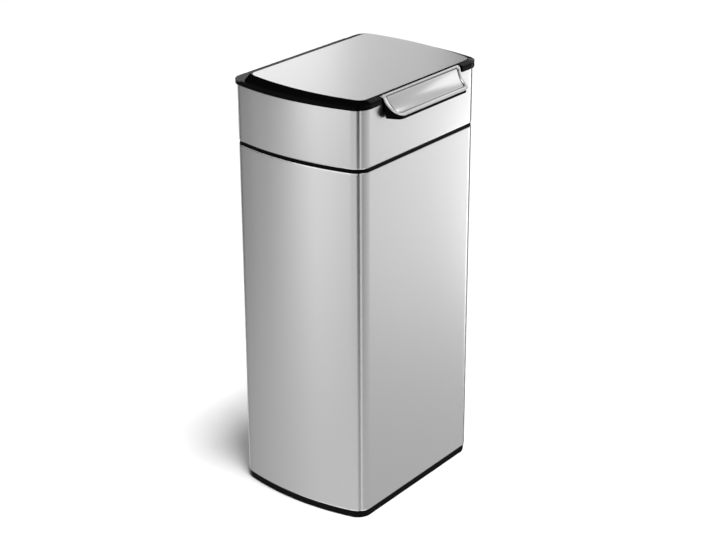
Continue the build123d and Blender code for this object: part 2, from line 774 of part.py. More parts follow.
# Core of the bar: fills the steel face, hooks over the collar and turns on the pivot pin
core_low = collar_top - bar_core_drop
core_seat = collar_top + bar_stroke
arm_top = pivot_z + boss_radius
arm_front_y = bar_rear_y - bar_core_margin - bar_skin

with BuildPart() as touch_bar_core:
    with BuildSketch(Plane.YZ.offset(-bar_half)):
        with BuildLine():
            core_rear, core_front = draw_crest(bar_skin)
            Polyline(core_front, core_front - Vector(0, bar_core_edge),
                     (front_face - bar_core_gap, core_low), (front_face - bar_stroke, core_seat),
                     (core_rear.X, core_seat), core_rear)
        make_face()
    extrude(amount=2 * bar_half)
    with BuildSketch(Plane.XY.offset(collar_top - 2 * bar_core_drop)):
        add(bar_plan(bar_core_margin))
    extrude(amount=4 * bar_core_drop, mode=Mode.INTERSECT)
    for x in (-arm_spacing, 0, arm_spacing):
        block((x - arm_width / 2, x + arm_width / 2), (arm_front_y, pivot_y), (core_seat, arm_top))
        cross_rod(x - arm_width / 2, x + arm_width / 2, pivot_y, pivot_z, boss_radius)
    block((-finger_width / 2, finger_width / 2), (finger_front_y, finger_rear_y),
          (pivot_z - finger_length, arm_top))
    cross_rod(-bar_half, bar_half, pivot_y, pivot_z, pivot_radius + running, mode=Mode.SUBTRACT)
save(touch_bar_core, "touch_bar_core")

with BuildPart() as bar_pivot_pin:
    cross_rod(-pivot_end, pivot_end, pivot_y, pivot_z, pivot_radius)
save(bar_pivot_pin, "bar_pivot_pin")

# Latch bracket on the chute, with two cheeks for the lever's pin
bracket_low = latch_z - bracket_drop
bracket_top = latch_z + latch_radius + bracket_wall / 2
screw_z = latch_z - bracket_drop / 2
cheek_front_y = latch_y - latch_radius - bracket_wall

with BuildPart() as latch_bracket:
    block((-bracket_foot_half, bracket_foot_half), (bracket_y, chute_front_y), (bracket_low, bracket_top))
    for side in (-1, 1):
        block(sorted((side * (latch_half + moving), side * bracket_half)), (cheek_front_y, bracket_y),
              (latch_z - latch_radius - bracket_wall, bracket_top))
        front_rod(side * latch_screw_x, screw_z, bracket_y, chute_front_y, screw_radius + running,
                  mode=Mode.SUBTRACT)
    cross_rod(-bracket_half, bracket_half, latch_y, latch_z, latch_radius + running, mode=Mode.SUBTRACT)
save(latch_bracket, "latch_bracket")

with BuildPart() as latch_screws:
    for side in (-1, 1):
        front_rod(side * latch_screw_x, screw_z, bracket_y - screw_head_height, bracket_y, screw_head / 2)
        front_rod(side * latch_screw_x, screw_z, bracket_y, chute_front_y + liner_wall - fit, screw_radius)
save(latch_screws, "latch_screws")

with BuildPart() as latch_pin:
    cross_rod(-bracket_half, bracket_half, latch_y, latch_z, latch_radius)
save(latch_pin, "latch_pin")

# Latch lever: nose above the pin, round pad below it for the bar's finger
nose_z = keeper_low + keeper_toe + window_height / 2
arm_rear_y = latch_y + latch_arm / 2
seat_y = pad_y_centre + latch_pad
spring_z = pad_z - return_drop
seat_low = spring_z - return_coil / 2 - return_wire

with BuildPart() as latch_lever:
    cross_rod(-latch_half, latch_half, latch_y, latch_z, latch_radius + latch_wall)
    block((-nose_half, nose_half), (latch_y - latch_arm / 2, arm_rear_y), (latch_z, nose_z + latch_arm))
    with BuildSketch(Plane.YZ.offset(-nose_half)):
        with BuildLine():
            Polyline((arm_rear_y, nose_z - latch_arm / 2), (arm_rear_y + latch_nose, nose_z - latch_arm / 2),
                     (arm_rear_y + latch_nose, nose_z), (arm_rear_y, nose_z + latch_arm), close=True)
        make_face()
    extrude(amount=2 * nose_half)
    with BuildSketch(Plane.YZ.offset(-nose_half)):
        with BuildLine():
            Polyline((latch_y - latch_arm, latch_z), (pad_y_centre, pad_z), (pad_y_centre, seat_low),
                     (seat_y, seat_low), (seat_y, pad_z), (arm_rear_y, latch_z), close=True)
        make_face()
    extrude(amount=2 * nose_half)
    cross_rod(-nose_half, nose_half, pad_y_centre, pad_z, latch_pad)
    cross_rod(-latch_half, latch_half, latch_y, latch_z, latch_radius + running, mode=Mode.SUBTRACT)
save(latch_lever, "latch_lever")

# Return spring between the lever and the bracket
return_start_y = seat_y + return_wire
return_pitch = (bracket_y - return_wire / 2 - return_start_y) / return_turns
return_coils = coil(return_coil / 2, return_wire, return_turns, return_pitch)
return_place = Plane(origin=(0, return_start_y, spring_z), x_dir=(1, 0, 0), z_dir=(0, 1, 0))

with BuildPart() as latch_spring:
    with Locations(return_place.location):
        add(return_coils)
save(latch_spring, "latch_spring")
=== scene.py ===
"""Looks of the touch-bar bin: finishes, detailed pieces, studio light and camera.

Everything is in metres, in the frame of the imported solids: +Z up, the origin at the centre of
the underside, and the front with the touch bar facing -Y.
"""

import json
import logging
import math
from bisect import bisect_right
from dataclasses import dataclass
from enum import Enum

import bmesh
import bpy
from mathutils import Matrix, Vector

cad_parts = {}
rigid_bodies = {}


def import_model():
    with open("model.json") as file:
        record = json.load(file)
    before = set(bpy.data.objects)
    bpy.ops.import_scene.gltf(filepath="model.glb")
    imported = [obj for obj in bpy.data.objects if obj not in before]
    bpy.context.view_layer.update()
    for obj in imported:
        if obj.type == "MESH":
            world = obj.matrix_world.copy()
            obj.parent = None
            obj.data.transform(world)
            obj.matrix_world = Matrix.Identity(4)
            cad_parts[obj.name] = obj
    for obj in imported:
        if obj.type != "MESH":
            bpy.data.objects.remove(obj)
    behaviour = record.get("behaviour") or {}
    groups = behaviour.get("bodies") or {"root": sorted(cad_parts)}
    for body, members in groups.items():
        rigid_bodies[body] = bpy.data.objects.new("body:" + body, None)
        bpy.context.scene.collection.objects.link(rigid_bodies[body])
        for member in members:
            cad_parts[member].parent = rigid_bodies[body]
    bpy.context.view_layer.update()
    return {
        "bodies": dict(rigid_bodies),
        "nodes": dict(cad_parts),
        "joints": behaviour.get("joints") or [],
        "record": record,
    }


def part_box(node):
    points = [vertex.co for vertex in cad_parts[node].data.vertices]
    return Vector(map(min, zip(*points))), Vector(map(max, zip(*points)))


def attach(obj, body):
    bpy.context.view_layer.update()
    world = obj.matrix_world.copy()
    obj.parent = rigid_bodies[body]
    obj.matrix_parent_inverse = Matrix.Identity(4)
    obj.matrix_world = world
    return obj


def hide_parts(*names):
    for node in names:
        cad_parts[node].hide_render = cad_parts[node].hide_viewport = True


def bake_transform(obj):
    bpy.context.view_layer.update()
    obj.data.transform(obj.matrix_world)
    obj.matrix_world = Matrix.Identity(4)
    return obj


LOG = logging.getLogger("bin")
MM = 0.001
MERGE_DISTANCE = 2e-6


class Grain(Enum):
    """Direction in which a steel sheet was brushed."""

    ROUND = "round the body"
    ACROSS = "left to right"
    NONE = "not brushed"


class Finish(Enum):
    """Finishes of the bin, with the names of their materials."""

    SHEET = "brushed_steel_sheet"
    # The lid's steel is lighter than the body's: painted brighter light on the lid's top.
    LID = "brushed_steel_lid_painted_bright"
    BAR = "brushed_steel_bar"
    # Darker steel: painted shade in the touch bar's groove.
    CREASE = "steel_with_painted_groove_shade"
    BRIGHT = "bright_steel"
    GLOSS = "polished_black"
    # Black plastic made far darker than the matte black: painted shade on the recessed seam band, the
    # plinth and the touch bar's underside.
    BAND = "black_with_painted_shade"
    MATTE = "matte_black"
    GREY = "bucket_grey"
    RUBBER = "rubber_black"


Finishes = dict[Finish, bpy.types.Material]


class Group(Enum):
    """Names of the shader node groups that several finishes share."""

    BRUSHING = "brushing"
    MOULDING = "moulding"


def arc(centre: Vector, radius: float, first: float, last: float, steps: int) -> list[Vector]:
    """Return the points of an arc seen from above, with one more point than it has steps.

    Args:
        centre: the arc's centre.
        radius: its radius.
        first: the angle where it starts, in radians from +X.
        last: the angle where it ends.
        steps: how many straight steps it has.

    Returns:
        The points, from the first angle to the last.
    """
    angles = [first + (last - first) * step / steps for step in range(steps + 1)]
    return [centre + radius * Vector((math.cos(angle), math.sin(angle))) for angle in angles]


@dataclass(frozen=True)
class Bin:
    """The bin seen from above: straight front and rear, bowed sides and round corners.

    Sizes are in millimetres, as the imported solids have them. The upright seam of the steel sheet is
    a shallow channel in the middle of the rear.
    """

    width: float = 291.2
    bow: float = 18.4
    depth: float = 245.3
    corner: float = 25.0
    inner_corner: float = 12.0
    seam_width: float = 0.8
    seam_depth: float = 0.5
    corner_steps: int = 18
    bow_steps: int = 40

    def loop(self, inset: float, height: float) -> list[Vector]:
        """Return a level loop round the bin.

        Args:
            inset: distance in from the outer face, in millimetres.
            height: height above the floor, in millimetres.

        Returns:
            The loop's points in metres, anticlockwise from the front.
        """
        bow = (self.depth**2 / 4 + self.bow**2) / (2 * self.bow)
        middle = Vector((self.width / 2 + self.bow - bow, 0.0))
        corner = max(self.corner - inset, self.inner_corner)
        along = self.depth / 2 - inset - corner
        across = middle.x + math.sqrt((bow - inset - corner) ** 2 - along**2)
        turn = math.atan2(along, across - middle.x)
        right = arc(Vector((across, -along)), corner, -math.pi / 2, -turn, self.corner_steps)
        right += arc(middle, bow - inset, -turn, turn, self.bow_steps)[1:-1]
        right += arc(Vector((across, along)), corner, turn, math.pi / 2, self.corner_steps)
        rear = right[-1].y
        right += [Vector((self.seam_width, rear)),
                  Vector((self.seam_width / 2, rear - self.seam_depth))]
        left = [Vector((-point.x, point.y)) for point in reversed(right)]
        return [Vector((point.x, point.y, height)) * MM for point in right + left]


BIN = Bin()
UPRIGHT = (0.0, 0.0, 0.0)
FORWARDS = (-math.pi / 2, 0.0, 0.0)


def deselect_all() -> None:
    """Leave edit mode and deselect every object."""
    if bpy.context.object and bpy.context.object.mode != "OBJECT":
        bpy.ops.object.mode_set(mode="OBJECT")
    bpy.ops.object.select_all(action="DESELECT")


def make_active(piece: bpy.types.Object) -> None:
    """Select one object alone and make it active."""
    deselect_all()
    piece.select_set(True)
    bpy.context.view_layer.objects.active = piece


def place_in_mesh(piece: bpy.types.Object) -> None:
    """Move an object's place into its mesh, so that the object sits at the origin."""
    make_active(piece)
    bpy.ops.object.transform_apply(location=True, rotation=True, scale=True)


def smooth(piece: bpy.types.Object, angle: float = 32.0) -> None:
    """Shade a piece smooth up to an angle between its faces, in degrees."""
    make_active(piece)
    bpy.ops.object.shade_smooth_by_angle(angle=math.radians(angle))


def face_outwards(piece: bpy.types.Object) -> None:
    """Merge a piece's doubled points and turn all its faces outwards.

    Args:
        piece: the piece, a closed shell.
    """
    make_active(piece)
    bpy.ops.object.mode_set(mode="EDIT")
    bpy.ops.mesh.select_all(action="SELECT")
    bpy.ops.mesh.remove_doubles(threshold=MERGE_DISTANCE)
    bpy.ops.mesh.normals_make_consistent(inside=False)
    bpy.ops.object.mode_set(mode="OBJECT")


def islands(node: bpy.types.Object) -> list[list[Vector]]:
    """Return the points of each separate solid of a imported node.

    Args:
        node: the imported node, which stays as it is.

    Returns:
        The points of each solid, in metres.
    """
    mesh = bmesh.new()
    mesh.from_mesh(node.data)
    bmesh.ops.remove_doubles(mesh, verts=mesh.verts, dist=MERGE_DISTANCE)
    found, seen = [], set()
    for start in mesh.verts:
        if start in seen:
            continue
        island, queue = [], [start]
        seen.add(start)
        while queue:
            vertex = queue.pop()
            island.append(vertex.co.copy())
            for edge in vertex.link_edges:
                other = edge.other_vert(vertex)
                if other not in seen:
                    seen.add(other)
                    queue.append(other)
        found.append(island)
    mesh.free()
    return found


def copy_node(node: bpy.types.Object, name: str) -> bpy.types.Object:
    """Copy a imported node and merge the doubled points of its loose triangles.

    Args:
        node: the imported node.
        name: name of the copy.

    Returns:
        The copy, in edit mode with its edges selected.
    """
    make_active(node)
    bpy.ops.object.duplicate()
    piece = bpy.context.object
    piece.name = name
    bpy.ops.object.mode_set(mode="EDIT")
    bpy.ops.mesh.select_mode(type="EDGE")
    bpy.ops.mesh.select_all(action="SELECT")
    bpy.ops.mesh.remove_doubles(threshold=MERGE_DISTANCE)
    return piece


def low_end(points: list[Vector], turn: tuple[float, float, float]) -> tuple[float, float, float]:
    """Return the middle of a screw's head end, in millimetres.

    Args:
        points: the screw's points.
        turn: UPRIGHT for a screw with its head end lowest, FORWARDS for one with it in front.

    Returns:
        The place of the head end's middle.
    """
    low = [min(point[axis] for point in points) / MM for axis in range(3)]
    high = [max(point[axis] for point in points) / MM for axis in range(3)]
    middle = [(a + b) / 2 for a, b in zip(low, high)]
    if turn == FORWARDS:
        return middle[0], low[1], middle[2]
    return middle[0], middle[1], low[2]


def loft(name: str, loops: list[list[Vector]]) -> bpy.types.Object:
    """Model an open skin by extruding a circle loop by loop and setting each loop's points.

    Args:
        name: name of the new piece.
        loops: the loops, with the same number of points each.

    Returns:
        The new piece, in edit mode with its last loop selected.
    """
    deselect_all()
    bpy.ops.mesh.primitive_circle_add(vertices=len(loops[0]), radius=1.0)
    piece = bpy.context.object
    piece.name = name
    for vertex, point in zip(piece.data.vertices, loops[0]):
        vertex.co = point
    bpy.ops.object.mode_set(mode="EDIT")
    bpy.ops.mesh.select_all(action="SELECT")
    for points in loops[1:]:
        bpy.ops.mesh.extrude_edges_move()
        mesh = bmesh.from_edit_mesh(piece.data)
        moved = sorted((vertex for vertex in mesh.verts if vertex.select),
                       key=lambda vertex: vertex.index)
        for vertex, point in zip(moved, points):
            vertex.co = point
        bmesh.update_edit_mesh(piece.data)
    LOG.info("loft %s: %d points a loop, %d loops", name, len(loops[0]), len(loops))
    return piece


def between(value: float, keys: list[float], values: list) -> float | Vector:
    """Return what stands at a value between rising keys, by straight interpolation.

    Args:
        value: where to look.
        keys: the rising keys.
        values: a number or vector for each key.

    Returns:
        The number or vector at that value.
    """
    right = min(max(bisect_right(keys, value), 1), len(keys) - 1)
    share = (value - keys[right - 1]) / (keys[right] - keys[right - 1])
    return values[right - 1] * (1 - share) + values[right] * share


def new_material(name: str) -> tuple[bpy.types.Material, bpy.types.NodeTree, bpy.types.Node]:
    """Make a material with nodes.

    Args:
        name: the material's name.

    Returns:
        The material, its node tree and its Principled shader.
    """
    material = bpy.data.materials.new(name)
    material.use_nodes = True
    tree = material.node_tree
    return material, tree, tree.nodes["Principled BSDF"]


def add_node(tree: bpy.types.NodeTree, kind: str, **values: object) -> bpy.types.Node:
    """Add a node and set its properties and the values of its named inputs.

    Args:
        tree: the tree that gets the node.
        kind: the node's type.
        values: properties of the node, or values for its inputs by name.

    Returns:
        The new node.
    """
    node = tree.nodes.new(kind)
    for key, value in values.items():
        label = key.replace("_", " ").title()
        if label in node.inputs:
            node.inputs[label].default_value = value
        else:
            setattr(node, key, value)
    return node


def group_tree(group: Group, inputs: dict[str, tuple[str, object]],
               outputs: dict[str, str]) -> tuple[bpy.types.NodeTree, bpy.types.Node, bpy.types.Node]:
    """Start a shader node group with named sockets.

    Args:
        group: which shared group this is.
        inputs: socket type and default value of each input, by name.
        outputs: socket type of each output, by name.

    Returns:
        The group's tree, its input node and its output node.
    """
    tree = bpy.data.node_groups.new(group.value, "ShaderNodeTree")
    for name, (kind, value) in inputs.items():
        socket = tree.interface.new_socket(name=name, in_out="INPUT", socket_type=kind)
        if value is not None:
            socket.default_value = value
    for name, kind in outputs.items():
        tree.interface.new_socket(name=name, in_out="OUTPUT", socket_type=kind)
    return tree, tree.nodes.new("NodeGroupInput"), tree.nodes.new("NodeGroupOutput")


class SharedGroups:
    """Shader node groups that more than one finish uses."""

    FLOAT = "NodeSocketFloat"
    VECTOR = "NodeSocketVector"
    MIDDLE = 0.5

    def __init__(self) -> None:
        """Build both groups once."""
        self.trees = {Group.BRUSHING: self.brushing(), Group.MOULDING: self.moulding()}

    def vary_roughness(self, tree: bpy.types.NodeTree, noise: bpy.types.NodeSocket, middle: float,
                       source: bpy.types.Node, result: bpy.types.Node) -> None:
        """Let a group's roughness vary with a noise, by as much as its spread.

        Args:
            tree: the group's tree.
            noise: socket that gives the noise.
            middle: the noise's middle value, which leaves the roughness as it is.
            source: the group's input node.
            result: the group's output node.
        """
        centred = add_node(tree, "ShaderNodeMath", operation="SUBTRACT")
        centred.inputs[1].default_value = middle
        tree.links.new(noise, centred.inputs[0])
        scaled = add_node(tree, "ShaderNodeMath", operation="MULTIPLY_ADD")
        tree.links.new(centred.outputs[0], scaled.inputs[0])
        tree.links.new(source.outputs["Spread"], scaled.inputs[1])
        tree.links.new(source.outputs["Roughness"], scaled.inputs[2])
        tree.links.new(scaled.outputs[0], result.inputs["Roughness"])

    def brushing(self) -> bpy.types.NodeTree:
        """Build streaks along the brushing, whose roughness and height vary from line to line.

        Returns:
            The group's tree.
        """
        tree, source, result = group_tree(
            Group.BRUSHING,
            {"Vector": (self.VECTOR, None), "Roughness": (self.FLOAT, 0.3),
             "Spread": (self.FLOAT, 0.05)},
            {"Roughness": self.FLOAT, "Height": self.FLOAT})
        fine = add_node(tree, "ShaderNodeTexNoise", scale=1.0, detail=3.0, roughness=0.6)
        broad = add_node(tree, "ShaderNodeTexNoise", scale=0.13, detail=2.0, roughness=0.5)
        tree.links.new(source.outputs["Vector"], fine.inputs["Vector"])
        tree.links.new(source.outputs["Vector"], broad.inputs["Vector"])
        both = add_node(tree, "ShaderNodeMath", operation="ADD")
        tree.links.new(fine.outputs["Fac"], both.inputs[0])
        tree.links.new(broad.outputs["Fac"], both.inputs[1])
        self.vary_roughness(tree, both.outputs[0], 2 * self.MIDDLE, source, result)
        tree.links.new(fine.outputs["Fac"], result.inputs["Height"])
        return tree

    def moulding(self) -> bpy.types.NodeTree:
        """Build the fine grain and the faint flow marks of moulded plastic and rubber.

        Returns:
            The group's tree.
        """
        tree, source, result = group_tree(
            Group.MOULDING,
            {"Vector": (self.VECTOR, None), "Roughness": (self.FLOAT, 0.5),
             "Spread": (self.FLOAT, 0.1), "Scale": (self.FLOAT, 900.0)},
            {"Roughness": self.FLOAT, "Height": self.FLOAT, "Shade": self.FLOAT})
        grain = add_node(tree, "ShaderNodeTexNoise", detail=4.0, roughness=0.55)
        tree.links.new(source.outputs["Vector"], grain.inputs["Vector"])
        tree.links.new(source.outputs["Scale"], grain.inputs["Scale"])
        flow = add_node(tree, "ShaderNodeTexNoise", scale=14.0, detail=2.0, roughness=0.5)
        tree.links.new(source.outputs["Vector"], flow.inputs["Vector"])
        self.vary_roughness(tree, flow.outputs["Fac"], self.MIDDLE, source, result)
        tree.links.new(grain.outputs["Fac"], result.inputs["Height"])
        tree.links.new(flow.outputs["Fac"], result.inputs["Shade"])
        return tree

    def place(self, tree: bpy.types.NodeTree, group: Group, vector: bpy.types.NodeSocket,
              **values: float) -> bpy.types.Node:
        """Put a shared group in a material.

        Args:
            tree: the material's node tree.
            group: which shared group.
            vector: socket that gives the place on the piece.
            values: values of the group's inputs, by name in lower case.

        Returns:
            The group node.
        """
        node = tree.nodes.new("ShaderNodeGroup")
        node.node_tree = self.trees[group]
        tree.links.new(vector, node.inputs["Vector"])
        for key, value in values.items():
            node.inputs[key.title()].default_value = value
        return node


@dataclass(frozen=True)
class SteelFinish:
    """Brushed steel sheet, or plain bright steel when it isn't brushed.

    The brushing's pitch and length and the bump's distance are in metres. The rotation is that of
    the highlight's stretch, in turns.
    """

    name: Finish
    grain: Grain
    color: tuple[float, float, float] = (0.62, 0.62, 0.62)
    roughness: float = 0.27
    spread: float = 0.008
    anisotropy: float = 0.82
    rotation: float = 0.25
    line_pitch: float = 1.1 * MM
    line_length: float = 160 * MM
    bump: float = 0.0008
    bump_distance: float = 0.4 * MM

    def build(self, groups: SharedGroups) -> bpy.types.Material:
        """Make the finish's material.

        Args:
            groups: the shared shader groups.

        Returns:
            The material.
        """
        material, tree, shader = new_material(self.name.value)
        shader.inputs["Base Color"].default_value = (*self.color, 1.0)
        shader.inputs["Metallic"].default_value = 1.0
        shader.inputs["Anisotropic"].default_value = self.anisotropy
        shader.inputs["Anisotropic Rotation"].default_value = self.rotation
        place = add_node(tree, "ShaderNodeTexCoord")
        stretch = add_node(tree, "ShaderNodeMapping")
        along, across = 1 / self.line_length, 1 / self.line_pitch
        scale = {Grain.ROUND: (along, along, across), Grain.ACROSS: (along, across, across),
                 Grain.NONE: (across, across, across)}[self.grain]
        stretch.inputs["Scale"].default_value = scale
        tree.links.new(place.outputs["Object"], stretch.inputs["Vector"])
        lines = groups.place(tree, Group.BRUSHING, stretch.outputs["Vector"],
                             roughness=self.roughness, spread=self.spread)
        tree.links.new(lines.outputs["Roughness"], shader.inputs["Roughness"])
        bump = add_node(tree, "ShaderNodeBump", strength=self.bump, distance=self.bump_distance)
        tree.links.new(lines.outputs["Height"], bump.inputs["Height"])
        tree.links.new(bump.outputs["Normal"], shader.inputs["Normal"])
        if self.grain is Grain.ROUND:
            tangent = add_node(tree, "ShaderNodeTangent", direction_type="RADIAL", axis="Z")
            tree.links.new(tangent.outputs["Tangent"], shader.inputs["Tangent"])
        return material


@dataclass(frozen=True)
class PlasticFinish:
    """Moulded plastic or rubber, from polished to matte.

    The shade is the share by which the colour varies both ways. The bump's distance is in metres.
    """

    name: Finish
    color: tuple[float, float, float]
    roughness: float
    spread: float = 0.06
    grain_scale: float = 900.0
    bump: float = 0.05
    bump_distance: float = 0.2 * MM
    specular: float = 0.5
    shade: float = 0.12

    def build(self, groups: SharedGroups) -> bpy.types.Material:
        """Make the finish's material.

        Args:
            groups: the shared shader groups.

        Returns:
            The material.
        """
        material, tree, shader = new_material(self.name.value)
        shader.inputs["Specular IOR Level"].default_value = self.specular
        place = add_node(tree, "ShaderNodeTexCoord")
        grain = groups.place(tree, Group.MOULDING, place.outputs["Object"],
                             roughness=self.roughness, spread=self.spread, scale=self.grain_scale)
        tree.links.new(grain.outputs["Roughness"], shader.inputs["Roughness"])
        bump = add_node(tree, "ShaderNodeBump", strength=self.bump, distance=self.bump_distance)
        tree.links.new(grain.outputs["Height"], bump.inputs["Height"])
        tree.links.new(bump.outputs["Normal"], shader.inputs["Normal"])
        tint = add_node(tree, "ShaderNodeMix", data_type="RGBA")
        sockets = {socket.identifier: socket for socket in (*tint.inputs, *tint.outputs)}
        for label, share in (("A_Color", 1 - self.shade), ("B_Color", 1 + self.shade)):
            sockets[label].default_value = (*[part * share for part in self.color], 1.0)
        tree.links.new(grain.outputs["Shade"], sockets["Factor_Float"])
        tree.links.new(sockets["Result_Color"], shader.inputs["Base Color"])
        return material


FINISHES = (
    SteelFinish(Finish.SHEET, Grain.ROUND),
    # Same steel as the body, made lighter: painted brighter light on the lid's top.
    SteelFinish(Finish.LID, Grain.ACROSS, color=(0.86, 0.86, 0.86), roughness=0.24, anisotropy=0.0),
    SteelFinish(Finish.BAR, Grain.ACROSS, roughness=0.22, anisotropy=0.0),
    # Painted shade: a darker steel on the touch bar's groove faces, standing for the shade in the
    # groove.
    SteelFinish(Finish.CREASE, Grain.ACROSS, color=(0.16, 0.16, 0.16), roughness=0.4, anisotropy=0.0),
    SteelFinish(Finish.BRIGHT, Grain.NONE, roughness=0.22, spread=0.04, anisotropy=0.0,
                line_pitch=3 * MM),
    PlasticFinish(Finish.GLOSS, (0.0012, 0.0012, 0.0012), 0.14, spread=0.03, bump=0.01,
                  specular=0.035),
    # Black plastic, darker than the matte black by painted shade on the recessed seam band, the
    # plinth and the bar's underside.
    PlasticFinish(Finish.BAND, (0.0022, 0.0022, 0.0023), 0.5, specular=0.03),
    PlasticFinish(Finish.MATTE, (0.03, 0.03, 0.031), 0.42, specular=0.35),
    PlasticFinish(Finish.GREY, (0.3, 0.3, 0.31), 0.45),
    PlasticFinish(Finish.RUBBER, (0.03, 0.03, 0.03), 0.75, grain_scale=600.0, bump=0.12),
)


def make_finishes() -> Finishes:
    """Build the shared groups and every finish, once for all the pieces.

    Returns:
        The material of each finish.
    """
    groups = SharedGroups()
    return {finish.name: finish.build(groups) for finish in FINISHES}


def dress(piece: bpy.types.Object, material: bpy.types.Material) -> None:
    """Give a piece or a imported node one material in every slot.

    Args:
        piece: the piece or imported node.
        material: its material.
    """
    if not piece.material_slots:
        piece.data.materials.append(material)
    for slot in piece.material_slots:
        slot.material = material


@dataclass
class SteelBand:
    """A band of the bin's steel sheet, folded inwards with a rolled edge at both ends.

    Sizes are in millimetres. A place in its section is a distance in from the outer face and a
    height.
    """

    name: str
    node: str
    body: str
    low: float
    high: float
    sheet: float = 0.8
    hem: float = 8.0
    roll: float = 2.6
    edge_steps: int = 6

    def rolled_edge(self, turn: int, level: float) -> list[tuple[float, float]]:
        """Return the section of a rolled edge.

        Args:
            turn: 1 for the top edge, from the outside in, and -1 for the bottom edge.
            level: height of the roll's centre.

        Returns:
            The places, in order along the section.
        """
        places = []
        for step in range(self.edge_steps + 1):
            angle = math.pi * step / self.edge_steps
            places.append((self.sheet * (1 - turn * math.cos(angle)),
                           level + turn * self.roll * math.sin(angle)))
        return places

    def section(self) -> list[tuple[float, float]]:
        """Return the section of the folded sheet.

        Returns:
            The places, over the top edge, down the inside and round the bottom edge.
        """
        fold, top, bottom = 2 * self.sheet, self.high - self.hem, self.low + self.hem
        inside = [(fold, top), (self.sheet, top), (self.sheet, bottom), (fold, bottom)]
        return (self.rolled_edge(1, self.high - self.roll) + inside
                + self.rolled_edge(-1, self.low + self.roll))

    def build(self, finishes: Finishes) -> bpy.types.Object:
        """Model the band and dress it.

        Args:
            finishes: the finishes of the bin.

        Returns:
            The band, which replaces its node.
        """
        section = self.section()
        piece = loft(self.name, [BIN.loop(*place) for place in section + section[:1]])
        face_outwards(piece)
        smooth(piece)
        dress(piece, finishes[Finish.SHEET])
        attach(piece, self.body)
        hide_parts(self.node)
        return piece


